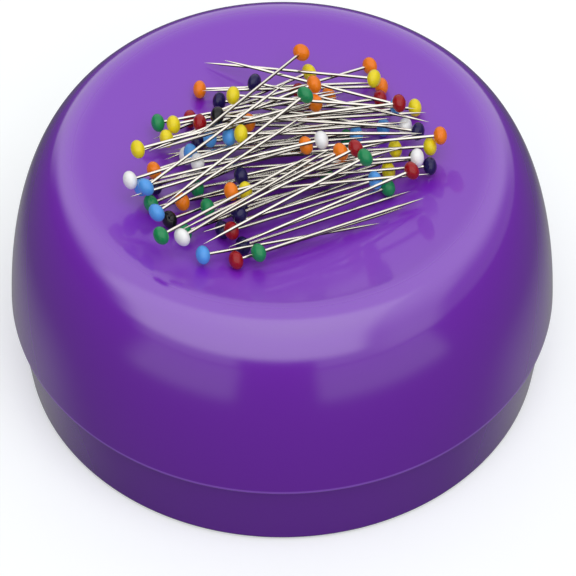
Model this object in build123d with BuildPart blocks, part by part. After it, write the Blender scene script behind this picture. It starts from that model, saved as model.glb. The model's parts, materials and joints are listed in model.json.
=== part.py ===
from build123d import *
from math import asin, atan2, cos, degrees, hypot, pi, radians, sin, sqrt
import os

import numpy as np

# Magnetic pin bowl. Millimetres, +Z up. The origin is the middle of the foot, on the table.

# Moulded bowl, outside
bowl_radius = 54.1
bowl_height = 53.8
shoulder_width = 13.7          # from the top of the rim out to the widest
widest_height = 10.4           # where the shoulder's curve would stand upright, inside the lower band
dish_depth = 6.5
crest_roll_radius = 8.0        # the rim's inner roll, from the crest down into the dish
waist_height = 17.2            # where the upper shell meets the base
wall = 2.2
lip_chamfer = 0.5
inside_steps = 3               # straight steps that follow the shoulder's and the dish's hidden sides

# Base tray
waist_step = 0.9               # the band stands in from the shell's lip
foot_inset = 2.6               # the foot stands in from the widest
foot_chamfer = 0.8
floor_thickness = 2.2
spigot_height = 4.0
spigot_wall = 1.6
fit_clearance = 0.15
pad_stand = 0.4                # the pad keeps the tray this far off the table

# Non-slip pad under the tray
pad_margin = 4.5               # from the foot's edge in to the pad
pad_width = 12.0
pad_thickness = 1.6

# Ring magnet under the dish, pressed up by the tray's tower through a foam ring
boss_room = 6.0                # between the screw bosses and the magnet's skirt
magnet_width = 14.0            # from the bore to the outside
magnet_height = 10.0
magnet_play = 0.3
seat_gap = 0.5                 # from the dish's lowest underside to the magnet's seat
skirt_wall = 1.8
skirt_grip = 6.0               # how far the skirt reaches down round the magnet
seat_rib_count = 6
seat_rib_width = 1.6
foam_inset = 1.0               # the foam stands in from the magnet's edge
foam_width = 7.0
foam_thickness = 2.0
tower_inset = 2.5              # and the tower too
tower_wall = 2.0
tower_gusset_count = 4
tower_gusset_width = 1.6
tower_gusset_reach = 7.0
tower_gusset_height = 20.0

# Screws that hold the tray to the shell
screw_count = 3
screw_inset = 10.0             # from the foot's edge in to the screws
screw_radius = 1.3
screw_length = 14.0
screw_head_radius = 2.7
screw_head_height = 1.8
screw_hole_radius = 1.6
screw_recess_radius = 3.0
screw_web = 2.0
screw_start_angle = 90.0
boss_radius = 3.4
boss_bottom = 12.0

# Pins
pin_length = 35.0              # from the middle of the head to the point
pin_point_length = 5.0
shaft_radius = 0.32
shaft_sides = 6
head_radius = 1.8              # across the shaft
head_half_length = 1.3         # along the shaft
head_sides = 8
head_band_angle = 24.0         # the head's middle band ends this far round its outline
head_cap_angle = 72.0          # and its flat end caps start here
rest_gap = 0.05                # between pins of one group
lift_gap = 0.12                # between pieces that lift apart
balance_share = 0.38           # a pin's balance point along its length, from the head
steepest_slope = 0.16          # the magnet holds a pin flatter than this

# How far a pin may turn and slide aside to lie lower, in each layer and on top
turn_play = {"lower": 6.0, "upper": 4.5, "top": 1.5}
slide_play = {"lower": 1.2, "upper": 0.6, "top": 0}
turn_step = 1.5
slide_step = 0.6
level_weight = 0.25            # how much a slope counts against a place
stray_weight = 0.3             # how much a full turn or a full slide does
coarse_feelers = 60            # points along a pin that feel for support in the search
fine_feelers = 180             # and where it is laid

# The seat from which the pile was read: how high it looks down, and how far off it is
eye_elevation = 49.1
eye_distance = 580.0

# The pile, lowest pin first. Each row is a pin: its colour, where its head is seen across and up from
# the middle of the foot, as shares of the pile's radius, and which way its shaft is seen to run.
pile_radius = 40.0
lower_pin_shares = [
    ("green", 0.33, 1.02, 185),
    ("blue", 0.38, 1.03, 184),
    ("red", -0.47, 1.12, 3),
    ("navy", -0.32, 1.21, -3),
    ("orange", -0.42, 1.27, 2),
    ("yellow", 0.14, 1.36, 203),
    ("orange", 0.51, 1.28, 180),
    ("orange", 0.23, 1.26, 201),
    ("red", 0.09, 1.27, 200),
    ("red", 0.50, 1.21, 180),
    ("yellow", 0.68, 1.17, 179),
    ("blue", 0.52, 1.13, 178),
    ("white", 0.63, 1.06, 180),
    ("navy", 0.70, 1.10, 179),
    ("green", -0.50, 0.54, 20),
    ("black", -0.57, 0.59, 20),
    ("navy", -0.31, 0.57, 20),
    ("navy", -0.20, 0.47, 18),
    ("red", -0.25, 0.52, 17),
    ("blue", -0.41, 0.45, 16),
    ("red", -0.24, 0.42, 16),
    ("green", 0.23, 0.82, 195),
    ("green", 0.54, 0.77, 200),
    ("yellow", 0.55, 0.82, 198),
    ("blue", 0.48, 0.79, 198),
    ("navy", -0.21, 0.66, 18),
    ("navy", -0.21, 0.61, 19),
    ("orange", -0.51, 0.70, 17),
    ("green", -0.43, 0.75, 15),
    ("green", -0.67, 0.69, 18),
    ("navy", -0.64, 0.75, 14),
    ("green", -0.39, 0.69, 16),
    ("white", -0.49, 0.91, 10),
    ("blue", -0.47, 0.97, 9),
    ("navy", -0.43, 1.00, 8),
    ("yellow", 0.58, 0.98, 184),
    ("black", 0.68, 0.91, 186),
    ("navy", 0.76, 0.89, 184.5),
    ("white", 0.69, 0.96, 184),
    ("yellow", 0.76, 0.98, 182),
]
upper_pin_shares = [
    ("yellow", -0.59, 1.02, 12),
    ("yellow", -0.55, 1.05, 13),
    ("orange", -0.66, 0.90, 18),
    ("blue", -0.72, 0.77, 12),
    ("red", -0.42, 1.11, 4),
    ("green", -0.63, 1.07, 13),
    ("blue", -0.37, 1.09, 1),
    ("blue", -0.27, 1.03, 7),
    ("orange", -0.17, 1.10, 2),
    ("yellow", -0.21, 1.02, 4),
    ("navy", -0.14, 1.29, -9),
    ("white", -0.43, 0.89, 12),
    ("navy", -0.21, 0.85, 12),
    ("yellow", -0.19, 0.78, 12),
    ("orange", -0.26, 0.74, 15),
    ("orange", 0.17, 1.21, 198),
    ("orange", 0.17, 1.26, 200),
    ("orange", 0.45, 1.39, 197),
    ("yellow", 0.47, 1.31, 179),
    ("blue", 0.59, 1.26, 179),
    ("orange", 0.81, 1.04, 176),
    ("orange", 0.12, 1.01, 188),
    ("white", 0.20, 1.02, 186),
    ("black", -0.33, 1.17, -5),
    ("yellow", -0.25, 1.24, -4),
    ("orange", 0.30, 0.93, 201),
    ("red", 0.37, 0.91, 202),
    ("red", 0.60, 1.20, 189),
    ("yellow", -0.74, 0.92, 25),
    ("white", -0.78, 0.78, 27),
    ("blue", -0.70, 0.85, 35),
    ("white", -0.51, 0.48, 35),
]
# Pins that lie clear on top, each lifted by itself
top_pin_shares = {
    "top_green_pin": ("green", 0.12, 1.24, 218),
    "top_blue_pin": ("blue", -0.64, 0.62, 37),
    "left_green_pin": ("green", -0.62, 0.54, 22),
    "right_green_pin": ("green", 0.42, 0.75, 198),
    "right_red_pin": ("red", 0.66, 0.78, 201.6),
    "front_green_pin": ("green", -0.12, 0.41, 21.5),
    "top_orange_pin": ("orange", 0.10, 1.47, 220),
}

# Derived sizes of the bowl
crest_radius = bowl_radius - shoulder_width
shoulder_height = bowl_height - widest_height
lip_top = waist_height + lip_chamfer
lip_angle = degrees(asin((lip_top - widest_height) / shoulder_height))
lip_radius = crest_radius + shoulder_width * cos(radians(lip_angle))
dish_floor = bowl_height - dish_depth
dish_curve_radius = (crest_radius**2 + dish_depth**2) / (2 * dish_depth) - crest_roll_radius
dish_centre_height = dish_floor + dish_curve_radius
roll_centre_height = bowl_height - crest_roll_radius
dish_edge_angle = degrees(atan2(crest_radius, dish_centre_height - roll_centre_height))

# Derived sizes of the base and what it carries
foot_radius = bowl_radius - foot_inset
pad_outer_radius = foot_radius - pad_margin
pad_inner_radius = pad_outer_radius - pad_width
screw_circle_radius = foot_radius - screw_inset
magnet_radius = screw_circle_radius - boss_radius - boss_room - skirt_wall - magnet_play
magnet_bore_radius = magnet_radius - magnet_width
foam_outer_radius = magnet_radius - foam_inset
foam_inner_radius = foam_outer_radius - foam_width
tower_radius = magnet_radius - tower_inset
spigot_top = waist_height + spigot_height
spigot_top_angle = degrees(asin((spigot_top - widest_height) / shoulder_height))
band_radius = lip_radius - waist_step
tray_floor_top = pad_stand + floor_thickness
magnet_top = dish_floor - wall - seat_gap
magnet_bottom = magnet_top - magnet_height
foam_bottom = magnet_bottom - foam_thickness
screw_web_bottom = boss_bottom - screw_web
post_radius = screw_recess_radius + spigot_wall


def wall_point(angle, depth):
    """A point of the shoulder's section, a depth inside its outer curve."""
    out = cos(radians(angle)) / shoulder_width
    up = sin(radians(angle)) / shoulder_height
    size = hypot(out, up)
    return (
        crest_radius + shoulder_width * cos(radians(angle)) - depth * out / size,
        widest_height + shoulder_height * sin(radians(angle)) - depth * up / size,
    )


def dish_point(angle, depth):
    """A point of the dish's section, a depth under its upper face."""
    reach = dish_curve_radius + depth
    return reach * sin(radians(angle)), dish_centre_height - reach * cos(radians(angle))


socket_radius = wall_point(spigot_top_angle, wall)[0]
spigot_radius = socket_radius - fit_clearance


# The solid that the shell's outside bounds: shoulder, rolled rim and dish
with BuildPart() as bowl_shell:
    with BuildSketch(Plane.XZ):
        with BuildLine():
            EllipticalCenterArc(
                (crest_radius, widest_height),
                shoulder_width,
                shoulder_height,
                start_angle=lip_angle,
                arc_size=90 - lip_angle,
            )
            CenterArc(
                (crest_radius, roll_centre_height), crest_roll_radius, 90, dish_edge_angle
            )
            CenterArc(
                (0, dish_centre_height), dish_curve_radius, 270, dish_edge_angle
            )
            Polyline(
                (0, dish_floor),
                (0, waist_height),
                (lip_radius - lip_chamfer, waist_height),
                (lip_radius, lip_top),
            )
        make_face()
    revolve(axis=Axis.Z)

# The room inside the shell, with its bosses, its skirt and its seat ribs left standing
with BuildPart() as shell_room:
    with BuildSketch(Plane.XZ):
        with BuildLine():
            shoulder_inside = [
                wall_point(spigot_top_angle + (90 - spigot_top_angle) * n / inside_steps, wall)
                for n in range(inside_steps + 1)
            ]
            dish_underside = [
                dish_point(dish_edge_angle * (1 - n / inside_steps), wall)
                for n in range(inside_steps + 1)
            ]
            Polyline(
                (0, waist_height),
                (socket_radius, waist_height),
                *shoulder_inside,
                *dish_underside,
                close=True,
            )
        make_face()
    revolve(axis=Axis.Z)
    with BuildSketch(Plane.XY.offset(magnet_top - skirt_grip)):
        Circle(magnet_radius + magnet_play + skirt_wall)
        Circle(magnet_radius + magnet_play, mode=Mode.SUBTRACT)
    extrude(amount=bowl_height, mode=Mode.SUBTRACT)
    with BuildSketch(Plane.XY.offset(magnet_top)):
        with PolarLocations((magnet_radius + magnet_bore_radius) / 2, seat_rib_count):
            Rectangle(magnet_radius - magnet_bore_radius + skirt_wall, seat_rib_width)
    extrude(amount=bowl_height, mode=Mode.SUBTRACT)
    with BuildSketch(Plane.XY.offset(waist_height)):
        with PolarLocations(screw_circle_radius, screw_count, start_angle=screw_start_angle):
            Circle(boss_radius)
    extrude(amount=bowl_height, mode=Mode.SUBTRACT)

with bowl_shell:
    add(shell_room.part, mode=Mode.SUBTRACT)
    with BuildSketch(Plane.XY.offset(boss_bottom)):
        with PolarLocations(screw_circle_radius, screw_count, start_angle=screw_start_angle):
            Circle(boss_radius)
    extrude(amount=spigot_top - boss_bottom)
    with BuildSketch(Plane.XY.offset(boss_bottom)):
        with PolarLocations(screw_circle_radius, screw_count, start_angle=screw_start_angle):
            Circle(screw_radius)
    extrude(amount=screw_length, mode=Mode.SUBTRACT)

bowl_shell.part.label = "bowl_shell"

# Base tray: the visible band, the floor, the spigot inside the shell, the tower and the screw posts
with BuildPart() as base_tray:
    with BuildSketch(Plane.XZ) as tray_section:
        with BuildLine():
            Polyline(
                (0, pad_stand),
                (foot_radius, pad_stand),
                (band_radius, waist_height),
                (spigot_radius, waist_height),
                (spigot_radius, spigot_top),
                (spigot_radius - spigot_wall, spigot_top),
                (foot_radius - wall, tray_floor_top),
                (0, tray_floor_top),
                close=True,
            )
        make_face()
        foot_corner = tray_section.vertices().sort_by_distance((foot_radius, pad_stand))[0]
        chamfer(foot_corner, foot_chamfer)
    revolve(axis=Axis.Z)
    with BuildSketch(Plane.XY.offset(tray_floor_top)):
        with PolarLocations(screw_circle_radius, screw_count, start_angle=screw_start_angle):
            Circle(post_radius)
    extrude(amount=boss_bottom - tray_floor_top)
    with BuildSketch(Plane.XY.offset(pad_stand)):
        with PolarLocations(screw_circle_radius, screw_count, start_angle=screw_start_angle):
            Circle(screw_recess_radius)
    extrude(amount=screw_web_bottom - pad_stand, mode=Mode.SUBTRACT)
    with BuildSketch(Plane.XY.offset(screw_web_bottom)):
        with PolarLocations(screw_circle_radius, screw_count, start_angle=screw_start_angle):
            Circle(screw_hole_radius)
    extrude(amount=screw_web, mode=Mode.SUBTRACT)
    with BuildSketch(Plane.XY.offset(pad_stand)):
        Circle(pad_outer_radius + fit_clearance)
        Circle(pad_inner_radius - fit_clearance, mode=Mode.SUBTRACT)
    extrude(amount=pad_thickness - pad_stand, mode=Mode.SUBTRACT)
    with BuildSketch(Plane.XY.offset(tray_floor_top)):
        Circle(tower_radius)
        Circle(tower_radius - tower_wall, mode=Mode.SUBTRACT)
    extrude(amount=foam_bottom - tray_floor_top)
    with BuildSketch(Plane.XY.offset(tray_floor_top)):
        with PolarLocations(tower_radius, tower_gusset_count, start_angle=360 / tower_gusset_count / 2):
            Rectangle(tower_gusset_reach, tower_gusset_width, align=(Align.MIN, Align.CENTER))
        Circle(tower_radius - tower_wall, mode=Mode.SUBTRACT)
    extrude(amount=tower_gusset_height)

base_tray.part.label = "base_tray"


def ring(outer_radius, inner_radius, bottom, height, label):
    with BuildPart() as piece:
        with BuildSketch(Plane.XY.offset(bottom)):
            Circle(outer_radius)
            Circle(inner_radius, mode=Mode.SUBTRACT)
        extrude(amount=height)
    piece.part.label = label
    return piece.part


ring_magnet = ring(magnet_radius, magnet_bore_radius, magnet_bottom, magnet_height, "ring_magnet")
foam_ring = ring(foam_outer_radius, foam_inner_radius, foam_bottom, foam_thickness, "foam_ring")
non_slip_pad = ring(pad_outer_radius, pad_inner_radius, 0, pad_thickness, "non_slip_pad")

with BuildPart() as base_screws:
    with BuildSketch(Plane.XY.offset(screw_web_bottom - screw_head_height)):
        with PolarLocations(screw_circle_radius, screw_count, start_angle=screw_start_angle):
            Circle(screw_head_radius)
    extrude(amount=screw_head_height)
    with BuildSketch(Plane.XY.offset(screw_web_bottom)):
        with PolarLocations(screw_circle_radius, screw_count, start_angle=screw_start_angle):
            Circle(screw_radius)
    extrude(amount=screw_web + screw_length - screw_head_height)
base_screws.part.label = "base_screws"

# One pin in its own frame: the head's middle at the origin, the shaft along +X
band_length = head_half_length * sin(radians(head_band_angle))
head_band_radius = head_radius * cos(radians(head_band_angle))
seat_length = head_half_length * sin(radians(head_cap_angle))
head_cap_radius = head_radius * cos(radians(head_cap_angle))
with BuildPart() as pin_head:
    with BuildSketch(Plane.YZ):
        RegularPolygon(head_band_radius, head_sides)
    extrude(amount=seat_length, both=True)
    for end in (0, -1):
        cap = pin_head.faces().sort_by(Axis.X)[end]
        chamfer(
            cap.edges(),
            length=(head_band_radius - head_cap_radius) * cos(pi / head_sides),
            length2=seat_length - band_length,
            reference=cap,
        )

with BuildPart() as pin_shaft:
    with BuildSketch(Plane.YZ.offset(seat_length)):
        RegularPolygon(shaft_radius, shaft_sides)
    extrude(amount=pin_length - pin_point_length - seat_length)
    loft([pin_shaft.faces().sort_by(Axis.X)[-1], Vertex(pin_length, 0, 0)], ruled=True)


def seen_to_plan(across, up, height):
    """The plan place of a point at a known height, from where the eye sees it."""
    e = radians(eye_elevation)
    reach = eye_distance - height * sin(e)
    y = (up * reach - height * cos(e) * eye_distance) / (eye_distance * sin(e) - up * cos(e))
    return across * (reach + y * cos(e)) / eye_distance, y


def dish_heights(radius, lift):
    """The heights of the middle of a ball of radius lift that rests on the dish or its rim."""
    edge = crest_radius * (dish_curve_radius - lift) / (dish_curve_radius + crest_roll_radius)
    ball_reach = (dish_curve_radius - lift) ** 2
    in_dish = dish_centre_height - np.sqrt(ball_reach - np.minimum(radius, edge) ** 2)
    beyond = np.minimum(np.abs(radius - crest_radius), crest_roll_radius)
    on_rim = roll_centre_height + np.sqrt((crest_roll_radius + lift) ** 2 - beyond**2)
    return np.where(radius <= edge, in_dish, on_rim)


def heights_over(spread, radius):
    """How far a round piece holds another up, where spread is 0 over its middle and 1 at its edge."""
    return np.where(spread < 1, radius * np.sqrt(np.maximum(1 - spread, 0)), -np.inf)


def head_spread(along, aside, gap):
    """How far out a shaft's middle passes a head, from its place along and beside the head's axis."""
    half_length = head_half_length + shaft_radius + gap
    return (along / half_length) ** 2 + (aside / (head_radius + shaft_radius + gap)) ** 2


def head_reach(heading, towards):
    """How far a head reaches sideways, towards a direction in plan."""
    turn = towards - heading
    return np.hypot(head_half_length * np.cos(turn), head_radius * np.sin(turn))


def supports_for(x, y, heading, plan_length, laid, group, feelers):
    """The least height of a pin's middle at points along it, over the dish and the pins laid so far."""
    ux, uy = cos(heading), sin(heading)
    places = np.linspace(0, plan_length, feelers)
    px, py = x + places * ux, y + places * uy
    least = dish_heights(np.hypot(px, py), shaft_radius + lift_gap)
    least[0] = dish_heights(hypot(x, y), head_radius + lift_gap)
    if not laid:
        return places, least

    def column(name):
        return np.array([pin[name] for pin in laid])[:, None]

    ox, oy, oz = column("x"), column("y"), column("z")
    other_heading, far, rise = column("heading"), column("plan_length"), column("rise")
    gap = np.array([[rest_gap if pin["group"] == group else lift_gap] for pin in laid])
    vx, vy = np.cos(other_heading), np.sin(other_heading)
    # this shaft over the others' shafts and heads
    along = (px - ox) * vx + (py - oy) * vy
    aside = (py - oy) * vx - (px - ox) * vy
    nearest = np.clip(along, 0, far)
    reach = 2 * shaft_radius + gap
    apart = np.hypot(along - nearest, aside) / reach
    over_shafts = oz + rise * nearest / far + heights_over(apart**2, reach)
    over_heads = oz + heights_over(head_spread(along, aside, gap), head_radius + shaft_radius + gap)
    least = np.maximum(least, np.maximum(over_shafts, over_heads).max(axis=0))
    # this head over the others' shafts
    shares = np.linspace(0, 1, feelers)[None, :]
    sx, sy = ox + shares * far * vx - x, oy + shares * far * vy - y
    spread = head_spread(sx * ux + sy * uy, sy * ux - sx * uy, gap)
    head_on_shafts = oz + rise * shares + heights_over(spread, head_radius + shaft_radius + gap)
    # this head over the others' heads
    towards = np.arctan2(oy - y, ox - x)
    reach = head_reach(heading, towards) + head_reach(other_heading, towards) + gap
    spread = (np.hypot(ox - x, oy - y) / reach) ** 2
    head_on_heads = oz + heights_over(spread, 2 * head_radius + gap)
    least[0] = max(least[0], head_on_shafts.max(), head_on_heads.max())
    return places, least


def rest_line(places, least, balance):
    """The height of a rod's start and its rise, when it lies on the supports either side of its balance.

    The rod lies on the edge of the supports' upper hull that passes under its balance point, or, where
    that is too steep for the magnet, at the steepest slope.
    """
    hull = []
    for place, height in zip(places, least):
        while len(hull) >= 2:
            (x0, z0), (x1, z1) = hull[-2], hull[-1]
            if (z1 - z0) * (place - x0) > (height - z0) * (x1 - x0):
                break
            hull.pop()
        hull.append((place, height))
    under = next(n for n in range(1, len(hull)) if hull[n][0] >= balance)
    (x0, z0), (x1, z1) = hull[under - 1], hull[under]
    slope = max(-steepest_slope, min(steepest_slope, (z1 - z0) / (x1 - x0)))
    start = max(height - slope * place for place, height in hull)
    return start, slope * places[-1]


def settle(x, y, heading, plan_length, laid, group, feelers):
    """Where a pin comes to rest at a place and heading: its head's height, its rise and its plan length."""
    places, least = supports_for(x, y, heading, plan_length, laid, group, feelers)
    z, rise = rest_line(places, least, balance_share * plan_length)
    return z, rise, sqrt(pin_length**2 - rise**2)


def lay_pin(colour, across_share, up_share, seen_angle, laid, group):
    """Lays one pin where the eye sees it, turned and slid a little so that it lies low."""
    layer = group if group in turn_play else "top"
    turns = round(turn_play[layer] / turn_step)
    slides = round(slide_play[layer] / slide_step)
    best_cost, best = None, None
    for turn_count in range(-turns, turns + 1):
        for slide_count in range(-slides, slides + 1):
            turn = radians(seen_angle + turn_count * turn_step)
            slide = slide_count * slide_step
            across = across_share * pile_radius - slide * sin(turn)
            up = up_share * pile_radius + slide * cos(turn)
            z, rise, plan_length = dish_floor + dish_depth / 2, 0, pin_length
            for _ in range(3):
                x, y = seen_to_plan(across, up, z)
                tip = seen_to_plan(across + pin_length * cos(turn), up + pin_length * sin(turn), z + rise)
                heading = atan2(tip[1] - y, tip[0] - x)
                z, rise, plan_length = settle(x, y, heading, plan_length, laid, group, coarse_feelers)
            stray = abs(turn_count) / max(turns, 1) + abs(slide_count) / max(slides, 1)
            cost = z + balance_share * rise + level_weight * abs(rise) + stray_weight * stray
            if best is None or cost < best_cost:
                best_cost, best = cost, (x, y, heading, plan_length)
    x, y, heading, plan_length = best
    for _ in range(2):
        z, rise, plan_length = settle(x, y, heading, plan_length, laid, group, fine_feelers)
    laid.append({
        "colour": colour,
        "group": group,
        "x": x,
        "y": y,
        "z": z,
        "heading": heading,
        "plan_length": plan_length,
        "rise": rise,
    })


def frame_of(pin):
    """The frame of a laid pin: at its head's middle, with X along its shaft."""
    along = Vector(
        pin["plan_length"] * cos(pin["heading"]), pin["plan_length"] * sin(pin["heading"]), pin["rise"]
    )
    side = Vector(-sin(pin["heading"]), cos(pin["heading"]), 0)
    return Plane(origin=(pin["x"], pin["y"], pin["z"]), x_dir=along, z_dir=along.cross(side))


laid_pins = []
for row in lower_pin_shares:
    lay_pin(*row, laid_pins, "lower")
for row in upper_pin_shares:
    lay_pin(*row, laid_pins, "upper")
for name, row in top_pin_shares.items():
    lay_pin(*row, laid_pins, name)


def copies_at(piece, pins, label):
    """Copies of a pin's piece, one for each pin, as separate solids under one label."""
    with BuildPart() as group:
        with Locations(*[frame_of(pin) for pin in pins]):
            add(piece)
    group.part.label = label
    return group.part


pin_pieces = []
for layer in ("lower", "upper"):
    members = [pin for pin in laid_pins if pin["group"] == layer]
    pin_pieces.append(copies_at(pin_shaft.part, members, f"{layer}_pin_shafts"))
    for colour in sorted({pin["colour"] for pin in members}):
        same = [pin for pin in members if pin["colour"] == colour]
        pin_pieces.append(copies_at(pin_head.part, same, f"{layer}_pin_heads_{colour}"))
for name in top_pin_shares:
    members = [pin for pin in laid_pins if pin["group"] == name]
    pin_pieces.append(copies_at(pin_shaft.part, members, f"{name}_shaft"))
    pin_pieces.append(copies_at(pin_head.part, members, f"{name}_head"))

os.makedirs("parts", exist_ok=True)
pieces = [bowl_shell.part, base_tray.part, ring_magnet, foam_ring, non_slip_pad, base_screws.part]
for piece in pieces + pin_pieces:
    export_step(piece, f"parts/{piece.label}.step")

ends = [pin["z"] for pin in laid_pins] + [pin["z"] + pin["rise"] for pin in laid_pins]
print(f"{len(laid_pins)} pins, dish floor at {dish_floor:.2f}, ends from {min(ends):.2f} to {max(ends):.2f}")
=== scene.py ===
import json
from math import asin, atan2, cos, pi, radians, sin

import bpy
from mathutils import Matrix, Vector


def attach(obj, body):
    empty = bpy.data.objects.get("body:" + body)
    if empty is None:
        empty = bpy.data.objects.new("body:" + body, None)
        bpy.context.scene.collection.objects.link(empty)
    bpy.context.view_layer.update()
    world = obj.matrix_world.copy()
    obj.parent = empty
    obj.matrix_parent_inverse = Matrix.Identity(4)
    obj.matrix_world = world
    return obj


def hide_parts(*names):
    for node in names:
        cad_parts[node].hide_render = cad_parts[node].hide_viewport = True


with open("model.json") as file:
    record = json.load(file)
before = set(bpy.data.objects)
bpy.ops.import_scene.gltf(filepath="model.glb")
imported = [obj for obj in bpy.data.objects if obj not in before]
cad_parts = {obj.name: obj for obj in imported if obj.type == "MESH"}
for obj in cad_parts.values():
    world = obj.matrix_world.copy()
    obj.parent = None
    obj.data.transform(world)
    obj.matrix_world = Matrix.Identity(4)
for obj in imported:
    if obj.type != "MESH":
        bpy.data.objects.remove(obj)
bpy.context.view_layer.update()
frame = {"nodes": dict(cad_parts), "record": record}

cadNodes = frame["nodes"]
nodeBody = {name: body for body, names in frame["record"]["behaviour"]["bodies"].items() for name in names}
slotOf = {row["node"]: row["material_slot"] for row in frame["record"]["subparts"]}
mm = 0.001


# shader maths

class Wire:
    # a node's output: sums on it add Math nodes, and addNode adds any other node
    def __init__(self, tree, socket=None):
        self.tree = tree
        self.socket = socket

    def addNode(self, kind, settings=None, sockets=None):
        node = self.tree.nodes.new("ShaderNode" + kind)
        for key, value in (settings or {}).items():
            setattr(node, key, value)
        for key, value in (sockets or {}).items():
            if isinstance(value, Wire):
                self.tree.links.new(value.socket, node.inputs[key])
            else:
                node.inputs[key].default_value = value
        return node

    def take(self, node, output=0):
        return Wire(self.tree, node.outputs[output])

    def maths(self, operation, first, second=0.0, clamp=False):
        node = self.addNode("Math", {"operation": operation, "use_clamp": clamp}, {0: first, 1: second})
        return self.take(node)

    def __add__(self, other):
        return self.maths("ADD", self, other)

    __radd__ = __add__

    def __sub__(self, other):
        return self.maths("SUBTRACT", self, other)

    def __rsub__(self, other):
        return self.maths("SUBTRACT", other, self)

    def __mul__(self, other):
        return self.maths("MULTIPLY", self, other)

    __rmul__ = __mul__

    def __truediv__(self, other):
        return self.maths("DIVIDE", self, other)

    def clamped(self):
        return self.maths("ADD", self, 0.0, clamp=True)

    def ramp(self, low, high):
        # 0 at low, 1 at high, smooth between; low may be the larger
        node = self.addNode("MapRange", {"interpolation_type": "SMOOTHSTEP"}, {
            "Value": self, "From Min": low, "From Max": high, "To Min": 0.0, "To Max": 1.0})
        return self.take(node, "Result")


def newMaterial(name):
    material = bpy.data.materials.new(name)
    material.use_nodes = True
    material.node_tree.nodes.clear()
    return material, Wire(material.node_tree)


def closeMaterial(wire, shader):
    wire.addNode("OutputMaterial", None, {"Surface": wire.take(shader)})


def objectCoords(wire):
    return wire.take(wire.addNode("TexCoord"), "Object")


def splitAxes(wire, coords):
    # across to the right, back away from the viewer, and up
    axes = wire.addNode("SeparateXYZ", None, {0: coords})
    return [wire.take(axes, n) for n in range(3)]


def fromAxis(wire, across, back):
    return wire.maths("SQRT", across * across + back * back)


def noiseOn(wire, coords, scale, detail, roughness=0.5):
    noise = wire.addNode("TexNoise", None, {
        "Vector": coords, "Scale": scale, "Detail": detail, "Roughness": roughness})
    return wire.take(noise, "Fac")


def mixColours(wire, share, first, second):
    node = wire.addNode("Mix", {"data_type": "RGBA"}, {"Factor": share, 6: first, 7: second})
    return wire.take(node, 2)


# finishes

plasticLook = {
    "purple": (0.185, 0.012, 0.49, 1.0),
    "roughness": 0.20,
    "roughnessSpread": 0.06,
    "cloudScale": 45.0,
    "cloudDetail": 3.0,
    "rippleScale": 260.0,
    "rippleDetail": 2.0,
    "rippleStrength": 0.25,
    "rippleHeight": 0.01 * mm,
    "ior": 1.55,
    "coatRoughness": 0.09,
    "coatIor": 1.65,
    "dishEdge": 42.0 * mm,  # from the axis: the dish's worn gloss starts here
    "dishFull": 37.0 * mm,  # and is whole from here inwards
    "dishWear": 0.10,
    "dishCoatLoss": 0.60,
    "dishLevelling": 8.0 * mm,
    "lipPale": (0.34, 0.10, 0.76, 1.0),
    "lipFrom": 17.2 * mm,  # the painted highlight along the shell's lower lip, by height
    "lipTo": 18.1 * mm,
    "lipFadeBelow": 0.2 * mm,
    "lipFadeAbove": 0.3 * mm,
    "lipMask": (0.9, 1.0),
}


def makePlastic():
    look = plasticLook
    material, wire = newMaterial("purplePlastic")
    coords = objectCoords(wire)
    clouds = noiseOn(wire, coords, look["cloudScale"], look["cloudDetail"])
    ripple = noiseOn(wire, coords, look["rippleScale"], look["rippleDetail"])
    across, back, height = splitAxes(wire, coords)
    radius = fromAxis(wire, across, back)
    inDish = radius.ramp(look["dishEdge"], look["dishFull"])
    underTop = height.ramp(look["lipTo"] + look["lipFadeAbove"], look["lipTo"])
    overFoot = height.ramp(look["lipFrom"] - look["lipFadeBelow"], look["lipFrom"])
    # a painted highlight: a pale line in the base colour along the rounded lip
    paintedLipHighlight = (underTop * overFoot).ramp(*look["lipMask"])
    # a slope that is taken off the dish's own, so that its sheen lies flatter than its shape
    level = radius.ramp(look["dishEdge"], 0.0) * look["dishLevelling"]
    flatter = wire.addNode("Bump", None, {"Strength": 1.0, "Distance": 1.0, "Height": level})
    bump = wire.addNode("Bump", None, {
        "Strength": look["rippleStrength"], "Distance": look["rippleHeight"], "Height": ripple,
        "Normal": wire.take(flatter, "Normal")})
    shader = wire.addNode("BsdfPrincipled", None, {
        "Base Color": mixColours(wire, paintedLipHighlight, look["purple"], look["lipPale"]),
        "Roughness": clouds * look["roughnessSpread"] + inDish * look["dishWear"] + look["roughness"],
        "IOR": look["ior"],
        "Coat Weight": 1.0 - inDish * look["dishCoatLoss"],
        "Coat Roughness": look["coatRoughness"],
        "Coat IOR": look["coatIor"],
        "Normal": wire.take(bump, "Normal"),
    })
    closeMaterial(wire, shader)
    return material


steelLook = {
    "nickel": (0.74, 0.70, 0.64, 1.0),
    "underside": (0.10, 0.085, 0.07, 1.0),
    "undersideFade": (0.35, 0.85),
    "roughness": 0.05,
    "roughnessSpread": 0.08,
    "streakScale": 900.0,
    "streakDetail": 1.0,
    "screw": (0.62, 0.62, 0.63, 1.0),
    "screwRoughness": 0.32,
}


def makePinSteel():
    look = steelLook
    material, wire = newMaterial("pinSteel")
    streaks = noiseOn(wire, objectCoords(wire), look["streakScale"], look["streakDetail"])
    topSide = wire.take(wire.addNode("Attribute", {"attribute_name": "topSide"}), "Fac")
    # painted shade: each pin's steel is coloured dark on its underside and bright along its top
    lit = topSide.ramp(*look["undersideFade"])
    shader = wire.addNode("BsdfPrincipled", None, {
        "Base Color": mixColours(wire, lit, look["underside"], look["nickel"]),
        "Metallic": 1.0,
        "Roughness": streaks * look["roughnessSpread"] + look["roughness"],
    })
    closeMaterial(wire, shader)
    return material


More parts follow.
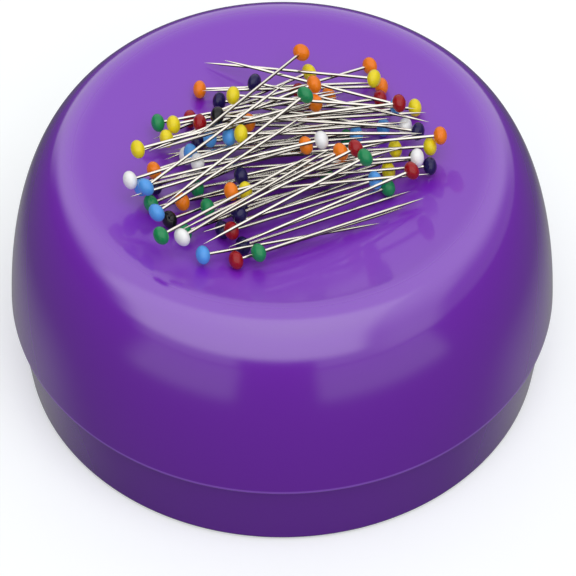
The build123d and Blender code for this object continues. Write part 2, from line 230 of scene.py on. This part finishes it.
def makeScrewSteel():
    material, wire = newMaterial("screwSteel")
    shader = wire.addNode("BsdfPrincipled", None, {
        "Base Color": steelLook["screw"], "Metallic": 1.0, "Roughness": steelLook["screwRoughness"]})
    closeMaterial(wire, shader)
    return material


headColours = {
    "head_orange": (0.90, 0.215, 0.008, 1.0),
    "head_red": (0.34, 0.006, 0.012, 1.0),
    "head_yellow": (0.86, 0.70, 0.015, 1.0),
    "head_blue": (0.095, 0.36, 0.86, 1.0),
    "head_green": (0.012, 0.26, 0.09, 1.0),
    "head_navy": (0.012, 0.007, 0.075, 1.0),
    "head_white": (0.93, 0.93, 0.94, 1.0),
    "head_black": (0.006, 0.006, 0.007, 1.0),
}
headLook = {
    "roughness": 0.12,
    "ior": 1.38,
    "cloudScale": 700.0,
    "cloudDetail": 1.0,
    "cloudDepth": 0.20,
    "glassGlow": 0.10,
}


def makeHead(slot, colour):
    look = headLook
    material, wire = newMaterial(slot.replace("head_", "glass_"))
    clouds = noiseOn(wire, objectCoords(wire), look["cloudScale"], look["cloudDetail"])
    darker = tuple(part * (1.0 - look["cloudDepth"]) for part in colour[:3]) + (1.0,)
    # painted light: each head glows faintly in its own colour
    shader = wire.addNode("BsdfPrincipled", None, {
        "Base Color": mixColours(wire, clouds.clamped(), darker, colour),
        "Roughness": look["roughness"],
        "IOR": look["ior"],
        "Emission Color": colour,
        "Emission Strength": look["glassGlow"],
    })
    closeMaterial(wire, shader)
    return material


speckledLook = {
    "ferrite": {
        "colour": (0.035, 0.035, 0.038, 1.0),
        "speck": (0.075, 0.075, 0.08, 1.0),
        "scale": 900.0,
        "roughness": 0.55,
        "grainHeight": 0.05 * mm,
    },
    "foam": {
        "colour": (0.55, 0.55, 0.53, 1.0),
        "speck": (0.80, 0.80, 0.78, 1.0),
        "scale": 1200.0,
        "roughness": 0.9,
        "grainHeight": 0.2 * mm,
    },
    "padRubber": {
        "colour": (0.018, 0.018, 0.02, 1.0),
        "speck": (0.035, 0.035, 0.038, 1.0),
        "scale": 1500.0,
        "roughness": 0.75,
        "grainHeight": 0.08 * mm,
    },
    "grainDetail": 4.0,
    "grainRoughness": 0.7,
    "grainStrength": 0.5,
}


def makeSpeckled(name):
    look, grain = speckledLook[name], speckledLook
    material, wire = newMaterial(name)
    grains = noiseOn(wire, objectCoords(wire), look["scale"], grain["grainDetail"], grain["grainRoughness"])
    bump = wire.addNode("Bump", None, {
        "Strength": grain["grainStrength"], "Distance": look["grainHeight"], "Height": grains})
    shader = wire.addNode("BsdfPrincipled", None, {
        "Base Color": mixColours(wire, grains.clamped(), look["colour"], look["speck"]),
        "Roughness": look["roughness"],
        "Normal": wire.take(bump, "Normal"),
    })
    closeMaterial(wire, shader)
    return material


finishes = {
    "purple_plastic": makePlastic(),
    "ferrite": makeSpeckled("ferrite"),
    "foam": makeSpeckled("foam"),
    "pad_rubber": makeSpeckled("padRubber"),
    "screw_steel": makeScrewSteel(),
    "pin_steel": makePinSteel(),
}
for slot, colour in headColours.items():
    finishes[slot] = makeHead(slot, colour)
print("finishes:", len(finishes))


# modelling helpers

meshing = {
    "smoothAngle": 35.0,  # degrees, between faces that shade as one surface
    "seamGap": 0.002 * mm,  # a turned profile's seam closes within this
    "cadGap": 0.004 * mm,  # a copy of a CAD mesh is merged within this
}


def deselectAll():
    if bpy.context.object and bpy.context.object.mode != "OBJECT":
        bpy.ops.object.mode_set(mode="OBJECT")
    bpy.ops.object.select_all(action="DESELECT")


def pickOnly(*objects):
    deselectAll()
    for thing in objects:
        thing.select_set(True)
    bpy.context.view_layer.objects.active = objects[0]


def finishPiece(piece, name, node, smoothAngle=meshing["smoothAngle"]):
    # names the piece, gives it its node's finish and puts it in its node's place
    piece.name = name
    piece.data.name = name
    piece.data.materials.clear()
    piece.data.materials.append(finishes[slotOf[node]])
    pickOnly(piece)
    bpy.ops.object.shade_smooth_by_angle(angle=radians(smoothAngle))
    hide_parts(node)
    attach(piece, nodeBody[node])


def selectFaces(piece, wanted):
    # leaves the piece in edit mode with only the wanted faces selected
    pickOnly(piece)
    bpy.ops.object.mode_set(mode="EDIT")
    bpy.ops.mesh.select_mode(type="FACE")
    bpy.ops.mesh.select_all(action="DESELECT")
    bpy.ops.object.mode_set(mode="OBJECT")
    for face in piece.data.polygons:
        face.select = wanted(face)
    bpy.ops.object.mode_set(mode="EDIT")


def turnProfile(points, steps):
    # one vertex drawn out along a profile, point by point, and spun round the upright axis
    deselectAll()
    bpy.ops.mesh.primitive_plane_add(size=1.0, location=(0, 0, 0))
    bpy.ops.object.mode_set(mode="EDIT")
    bpy.ops.mesh.select_all(action="SELECT")
    bpy.ops.mesh.merge(type="CENTER")
    startX, startZ = points[0]
    bpy.ops.transform.translate(value=(startX, 0, startZ))
    for (fromX, fromZ), (toX, toZ) in zip(points, points[1:]):
        bpy.ops.mesh.extrude_vertices_move(TRANSFORM_OT_translate={"value": (toX - fromX, 0, toZ - fromZ)})
    bpy.ops.mesh.select_all(action="SELECT")
    bpy.ops.mesh.spin(steps=steps, angle=2 * pi, center=(0, 0, 0), axis=(0, 0, 1))
    bpy.ops.mesh.select_all(action="SELECT")
    bpy.ops.mesh.remove_doubles(threshold=meshing["seamGap"])
    bpy.ops.mesh.normals_make_consistent(inside=False)
    bpy.ops.object.mode_set(mode="OBJECT")
    return bpy.context.object


# upper shell

shellSize = {
    "crestRadius": 40.4 * mm,
    "widest": 54.1 * mm,
    "rimHeight": 53.8 * mm,
    "curveFoot": 10.4 * mm,
    "waist": 17.2 * mm,
    "dishDepth": 6.5 * mm,
    "rollRadius": 8.0 * mm,
    "wall": 2.2 * mm,
    "lipRound": 0.5 * mm,
    "spigotTop": 21.2 * mm,
    "shoulderSteps": 44,
    "rollSteps": 16,
    "dishSteps": 24,
    "lipSteps": 5,
    "innerShoulderSteps": 10,
    "innerRollSteps": 4,
    "innerDishSteps": 6,
    "turnSteps": 256,
}


def makeShell():
    # the outside from the dish's middle to the lip, then the inside back to the middle
    s = shellSize
    width = s["widest"] - s["crestRadius"]
    height = s["rimHeight"] - s["curveFoot"]
    lipAngle = asin((s["waist"] - s["curveFoot"]) / height)
    socketAngle = asin((s["spigotTop"] - s["curveFoot"]) / height)
    floorHeight = s["rimHeight"] - s["dishDepth"]
    dishRadius = (s["crestRadius"] ** 2 + s["dishDepth"] ** 2) / (2 * s["dishDepth"]) - s["rollRadius"]
    dishCentre = floorHeight + dishRadius
    rollCentre = s["rimHeight"] - s["rollRadius"]
    edgeAngle = atan2(s["crestRadius"], dishCentre - rollCentre)

    def shoulder(angle, depth=0.0):
        out, up = cos(angle) / width, sin(angle) / height
        size = (out * out + up * up) ** 0.5
        return (
            s["crestRadius"] + width * cos(angle) - depth * out / size,
            s["curveFoot"] + height * sin(angle) - depth * up / size,
        )

    def roll(angle, depth=0.0):
        reach = s["rollRadius"] - depth
        return (s["crestRadius"] - reach * sin(angle), rollCentre + reach * cos(angle))

    def dish(angle, depth=0.0):
        reach = dishRadius + depth
        return (reach * sin(angle), dishCentre - reach * cos(angle))

    points = [dish(edgeAngle * n / s["dishSteps"]) for n in range(s["dishSteps"] + 1)]
    points += [roll(edgeAngle * (1 - n / s["rollSteps"])) for n in range(1, s["rollSteps"] + 1)]
    for n in range(1, s["shoulderSteps"]):
        angle = pi / 2 + (lipAngle - pi / 2) * n / s["shoulderSteps"]
        if shoulder(angle)[1] > s["waist"] + s["lipRound"]:
            points.append(shoulder(angle))
    for n in range(s["lipSteps"] + 1):
        turn = pi / 2 * n / s["lipSteps"]
        level = s["waist"] + s["lipRound"] * (1 - sin(turn))
        outside = shoulder(asin((level - s["curveFoot"]) / height))[0]
        points.append((outside - s["lipRound"] * (1 - cos(turn)), level))
    socketX = shoulder(socketAngle, s["wall"])[0]
    points += [(socketX, s["waist"]), (socketX, s["spigotTop"])]
    for n in range(1, s["innerShoulderSteps"] + 1):
        angle = socketAngle + (pi / 2 - socketAngle) * n / s["innerShoulderSteps"]
        points.append(shoulder(angle, s["wall"]))
    points += [roll(edgeAngle * n / s["innerRollSteps"], s["wall"]) for n in range(1, s["innerRollSteps"])]
    for n in range(s["innerDishSteps"] + 1):
        points.append(dish(edgeAngle * (1 - n / s["innerDishSteps"]), s["wall"]))
    shell = turnProfile(points, s["turnSteps"])
    finishPiece(shell, "bowlShellMoulding", "bowl_shell")
    print("shell:", len(shell.data.polygons), "faces")


makeShell()


# base tray

traySize = {
    "stand": 0.4 * mm,
    "footRadius": 51.5 * mm,
    "footRound": 0.8 * mm,
    "footSteps": 5,
    "bandRadius": 53.0 * mm,
    "bandTop": 17.2 * mm,
    "spigotTop": 21.2 * mm,
    "spigotRadius": 51.3 * mm,
    "spigotWall": 1.6 * mm,
    "floorTop": 2.6 * mm,
    "floorRadius": 49.3 * mm,
    "padOuter": 47.15 * mm,
    "padInner": 34.85 * mm,
    "padTop": 1.6 * mm,
    "turnSteps": 256,
}


def makeTray():
    # underneath with the pad's recess, up the band and the spigot, and back over the floor
    t = traySize
    points = [(0, t["stand"]), (t["padInner"], t["stand"]), (t["padInner"], t["padTop"]),
              (t["padOuter"], t["padTop"]), (t["padOuter"], t["stand"])]
    for n in range(t["footSteps"] + 1):
        turn = pi / 2 * n / t["footSteps"]
        points.append((
            t["footRadius"] - t["footRound"] * (1 - sin(turn)),
            t["stand"] + t["footRound"] * (1 - cos(turn)),
        ))
    points += [(t["bandRadius"], t["bandTop"]), (t["spigotRadius"], t["bandTop"]),
               (t["spigotRadius"], t["spigotTop"]), (t["spigotRadius"] - t["spigotWall"], t["spigotTop"]),
               (t["floorRadius"], t["floorTop"]), (0, t["floorTop"])]
    tray = turnProfile(points, t["turnSteps"])
    finishPiece(tray, "baseTrayMoulding", "base_tray")
    print("tray:", len(tray.data.polygons), "faces")


makeTray()


# pins

pinSize = {
    "length": 35.0 * mm,  # from the head's middle to the tip
    "point": 6.0 * mm,
    "pointSteps": ((0.45, 0.74), (0.35, 0.44), (0.2, 0.12)),  # share of the point, and how it narrows
    "shaftRadius": 0.31 * mm,
    "shaftSides": 12,
    "headRadius": 1.8 * mm,
    "headHalf": 1.3 * mm,
    "headSides": 20,
    "headRings": 12,
    "smoothAngle": 60.0,  # degrees
    "cadShaftSides": 6,
    "endFacing": 0.9,
    "leastReach": 0.01 * mm,
}


def makeHeadPattern():
    # a glass head on a pin that lies along X, flattened along the pin
    p = pinSize
    deselectAll()
    bpy.ops.mesh.primitive_uv_sphere_add(
        segments=p["headSides"], ring_count=p["headRings"], radius=p["headRadius"])
    head = bpy.context.object
    bpy.ops.object.mode_set(mode="EDIT")
    bpy.ops.mesh.select_all(action="SELECT")
    bpy.ops.transform.resize(value=(1, 1, p["headHalf"] / p["headRadius"]), center_override=(0, 0, 0))
    bpy.ops.transform.rotate(value=pi / 2, orient_axis="Y", center_override=(0, 0, 0))
    bpy.ops.mesh.normals_make_consistent(inside=False)
    bpy.ops.object.mode_set(mode="OBJECT")
    return head


def makeShaftPattern():
    # a drawn wire along X with a long ground point
    p = pinSize
    straight = p["length"] - p["point"]
    deselectAll()
    bpy.ops.mesh.primitive_cylinder_add(
        vertices=p["shaftSides"], radius=p["shaftRadius"], depth=straight, location=(straight / 2, 0, 0),
        rotation=(0, pi / 2, 0))
    shaft = bpy.context.object
    bpy.ops.object.transform_apply(location=True, rotation=True, scale=True)
    selectFaces(shaft, lambda face: face.normal.x > p["endFacing"])
    for reach, narrow in p["pointSteps"]:
        bpy.ops.mesh.extrude_region_move(TRANSFORM_OT_translate={"value": (p["point"] * reach, 0, 0)})
        bpy.ops.transform.resize(value=(1, narrow, narrow), center_override=(0, 0, 0))
    bpy.ops.object.mode_set(mode="OBJECT")
    # how far each corner faces up when the pin lies flat, for the painted shade on the underside
    layer = shaft.data.attributes.new("topSide", "FLOAT", "POINT")
    for corner, row in zip(shaft.data.vertices, layer.data):
        row.value = corner.co.z / max(Vector(corner.co.yz).length, p["leastReach"])
    return shaft


def looseParts(node):
    # the corners of each separate solid in a CAD node, read from a merged copy
    source = cadNodes[node].copy()
    source.data = cadNodes[node].data.copy()
    bpy.context.scene.collection.objects.link(source)
    pickOnly(source)
    bpy.ops.object.mode_set(mode="EDIT")
    bpy.ops.mesh.select_all(action="SELECT")
    bpy.ops.mesh.remove_doubles(threshold=meshing["cadGap"])
    bpy.ops.mesh.separate(type="LOOSE")
    bpy.ops.object.mode_set(mode="OBJECT")
    parts = list(bpy.context.selected_objects)
    corners = [[corner.co.copy() for corner in part.data.vertices] for part in parts]
    for part in parts:
        bpy.data.objects.remove(part)
    return corners


def shaftLine(corners):
    # the tip is the corner farthest from the middle, and the corners farthest from it ring the start
    middle = sum(corners, Vector()) / len(corners)
    tip = max(corners, key=lambda corner: (corner - middle).length)
    far = sorted(corners, key=lambda corner: (corner - tip).length)[-pinSize["cadShaftSides"]:]
    start = sum(far, Vector()) / len(far)
    return tip, (tip - start).normalized()


def pinFrame(tip, along):
    # the matrix that lays a pattern along the pin, upright, and the middle of the pin's head
    headPlace = tip - along * pinSize["length"]
    aside = Vector((0, 0, 1)).cross(along).normalized()
    up = along.cross(aside)
    turn = Matrix((along, aside, up)).transposed().to_4x4()
    return Matrix.Translation(headPlace) @ turn, headPlace


def layCopies(pattern, places, name, node):
    # one copy of the pattern in each place, all joined as one piece
    copies = []
    for place in places:
        piece = pattern.copy()
        piece.data = pattern.data.copy()
        bpy.context.scene.collection.objects.link(piece)
        piece.data.transform(place)
        copies.append(piece)
    pickOnly(*copies)
    if len(copies) > 1:
        bpy.ops.object.join()
    finishPiece(copies[0], name, node, pinSize["smoothAngle"])


def pieceName(node):
    words = node.split("_")
    return words[0] + "".join(word.capitalize() for word in words[1:]) + "Fine"


def makePins():
    headPattern = makeHeadPattern()
    shaftPattern = makeShaftPattern()
    pinPlaces = []
    for node in sorted(name for name in cadNodes if "pin" in name and "shaft" in name):
        frames = [pinFrame(*shaftLine(corners)) for corners in looseParts(node)]
        pinPlaces += frames
        layCopies(shaftPattern, [place for place, middle in frames], pieceName(node), node)
    for node in sorted(name for name in cadNodes if "pin_head" in name):
        places = []
        for corners in looseParts(node):
            centre = sum(corners, Vector()) / len(corners)
            places.append(min(pinPlaces, key=lambda row: (row[1] - centre).length)[0])
        layCopies(headPattern, places, pieceName(node), node)
    for pattern in (headPattern, shaftPattern):
        bpy.data.objects.remove(pattern)
    print("pins:", len(pinPlaces))


makePins()


# the pieces that stay as the CAD has them

plainNodes = ("ring_magnet", "foam_ring", "non_slip_pad", "base_screws")
for node in plainNodes:
    part = cadNodes[node]
    if not part.material_slots:
        part.data.materials.append(finishes[slotOf[node]])
    for place in part.material_slots:
        place.material = finishes[slotOf[node]]
print("kept from the CAD:", len(plainNodes))


# floor

floorLook = {
    "size": 6.0,
    "colour": (0.72, 0.75, 0.75, 1.0),
    "glow": 0.32,
    "bounceShare": 0.38,
    "mirrorShare": 0.16,
    "cards": 0.45,
    "leftStart": (-0.22, -0.32),  # shares of the reach where each card fades in and out
    "leftEnd": (-0.86, -0.74),
    "rightStart": (0.16, 0.26),
    "rightEnd": (0.88, 0.82),
    "cardsBack": (0.0, -20.0 * mm),
    "cardsReach": (140.0 * mm, 200.0 * mm),
    "beside": 0.17,
    "besideReach": (110.0 * mm, 65.0 * mm),
    "besideBack": (-45.0 * mm, -15.0 * mm),
}


def twoCards(side, look):
    left = side.ramp(*look["leftStart"]) * side.ramp(*look["leftEnd"])
    right = side.ramp(*look["rightStart"]) * side.ramp(*look["rightEnd"])
    return left + right


def makeFloor():
    # the camera sees white paper that keeps the shadow, other light meets a darker one, and the
    # gloss sees that with two pale cards in front and a pale patch beside and behind the bowl
    look = floorLook
    deselectAll()
    bpy.ops.mesh.primitive_plane_add(size=look["size"], location=(0, 0, 0))
    floor = bpy.context.object
    floor.name = "studioFloor"
    material, wire = newMaterial("floorPaper")
    paths = wire.addNode("LightPath")
    seen = (wire.take(paths, "Is Camera Ray") + wire.take(paths, "Is Transmission Ray")).clamped()
    mirrored = wire.take(paths, "Is Glossy Ray")
    bounced = tuple(part * look["bounceShare"] for part in look["colour"][:3]) + (1.0,)
    dark = tuple(part * look["mirrorShare"] for part in look["colour"][:3]) + (1.0,)
    tint = mixColours(wire, mirrored, mixColours(wire, seen, bounced, look["colour"]), dark)
    paper = wire.addNode("BsdfDiffuse", None, {"Color": tint})
    across, back = splitAxes(wire, objectCoords(wire))[:2]
    reach = fromAxis(wire, across, back)
    cards = back.ramp(*look["cardsBack"]) * twoCards(across / reach, look) * reach.ramp(*look["cardsReach"])
    beside = reach.ramp(*look["besideReach"]) * back.ramp(*look["besideBack"])
    level = seen * look["glow"] + mirrored * (cards * look["cards"] + beside * look["beside"])
    glow = wire.addNode("Emission", None, {"Strength": level})
    both = wire.addNode("AddShader", None, {0: wire.take(paper), 1: wire.take(glow)})
    closeMaterial(wire, both)
    floor.data.materials.append(material)
    print("floor:", floor.name)


makeFloor()


# light

# a pair is where a part of the room fades in, as a share of the way across, back or up
worldLook = {
    "white": 1.0,
    "below": 0.05,
    "horizon": 0.10,
    "edge": (-0.02, 0.02),
    "overhead": 1.30,
    "overheadUp": (0.25, 0.75),
    "backWall": 1.15,
    "wallBack": (0.25, 0.55),
    "wallLeft": (-0.85, -0.50),
    "wallRight": (0.85, 0.50),
    "wallUp": (-0.02, 0.12),
    "frontBox": 1.85,
    "boxBack": (0.12, -0.15),
    "boxLeft": (-0.97, -0.80),
    "boxRight": (0.60, 0.46),
    "boxUp": (0.08, 0.20),
    "cards": 0.54,
    "cardsBack": (0.0, -0.2),
    "leftStart": (-0.24, -0.34),
    "leftEnd": (-0.90, -0.78),
    "rightStart": (0.18, 0.26),
    "rightEnd": (0.94, 0.86),
    "rightSide": 0.28,
    "sideAcross": (0.50, 0.75),
    "sideUp": (-0.02, 0.08),
    "soft": 0.80,
    "key": 2.5,
    "keyWay": (0.12, -0.45, 0.885),
    "keyLobe": (0.82, 0.97),
}


def makeWorld():
    # the camera sees white, the gloss sees a room with a wall behind, a ceiling, a soft box over the
    # front and cards low down, and the rest is lit by a soft sky with a key from above the front
    w = worldLook
    world = bpy.data.worlds.new("studio")
    bpy.context.scene.world = world
    world.use_nodes = True
    world.node_tree.nodes.clear()
    wire = Wire(world.node_tree)
    across, back, up = splitAxes(wire, wire.take(wire.addNode("TexCoord"), "Generated"))
    above = up.ramp(*w["edge"])
    ceiling = up.ramp(*w["overheadUp"])
    wallSides = across.ramp(*w["wallRight"]) * across.ramp(*w["wallLeft"])
    wall = back.ramp(*w["wallBack"]) * wallSides * up.ramp(*w["wallUp"])
    boxSides = across.ramp(*w["boxRight"]) * across.ramp(*w["boxLeft"])
    box = back.ramp(*w["boxBack"]) * boxSides * up.ramp(*w["boxUp"])
    cards = back.ramp(*w["cardsBack"]) * twoCards(across, w)
    rightSide = across.ramp(*w["sideAcross"]) * up.ramp(*w["sideUp"]) * (1.0 - wall)

    room = w["horizon"] + ceiling * (w["overhead"] - w["horizon"])
    room = room + wall * (1.0 - ceiling) * (w["backWall"] - w["horizon"])
    room = room + (cards * w["cards"] + rightSide * w["rightSide"]) * (1.0 - ceiling)
    room = room * (1.0 - box) + box * w["frontBox"]
    room = w["below"] + above * (room - w["below"])

    keyAcross, keyBack, keyUp = w["keyWay"]
    lobe = back * keyBack + across * keyAcross + up * keyUp
    sky = above * up * w["soft"] + lobe.ramp(*w["keyLobe"]) * w["key"]

    paths = wire.addNode("LightPath")
    seen = (wire.take(paths, "Is Camera Ray") + wire.take(paths, "Is Transmission Ray")).clamped()
    mirrored = wire.take(paths, "Is Glossy Ray")
    level = (sky * (1.0 - mirrored) + room * mirrored) * (1.0 - seen) + seen * w["white"]
    background = wire.addNode("Background", None, {"Color": (1, 1, 1, 1), "Strength": level})
    wire.addNode("OutputWorld", None, {"Surface": wire.take(background)})
    print("light:", world.name)


makeWorld()


# camera

cameraLook = {
    "aim": (1.15 * mm, 0.0, 15.2 * mm),
    "elevation": 49.1,  # degrees
    "distance": 580.0 * mm,
    "lens": 177.4,
    "sensor": 36.0,
    "clipStart": 10.0 * mm,
}


def makeCamera():
    look = cameraLook
    camera = bpy.data.cameras.new("photoCamera")
    holder = bpy.data.objects.new("photoCamera", camera)
    bpy.context.scene.collection.objects.link(holder)
    tilt = radians(look["elevation"])
    holder.location = (0, -look["distance"] * cos(tilt), look["distance"] * sin(tilt))
    holder.rotation_euler = (Vector(look["aim"]) - holder.location).to_track_quat("-Z", "Y").to_euler()
    camera.lens = look["lens"]
    camera.sensor_width = look["sensor"]
    camera.clip_start = look["clipStart"]
    bpy.context.scene.camera = holder
    print("camera:", holder.name)


makeCamera()
bpy.context.scene.view_settings.view_transform = "Standard"
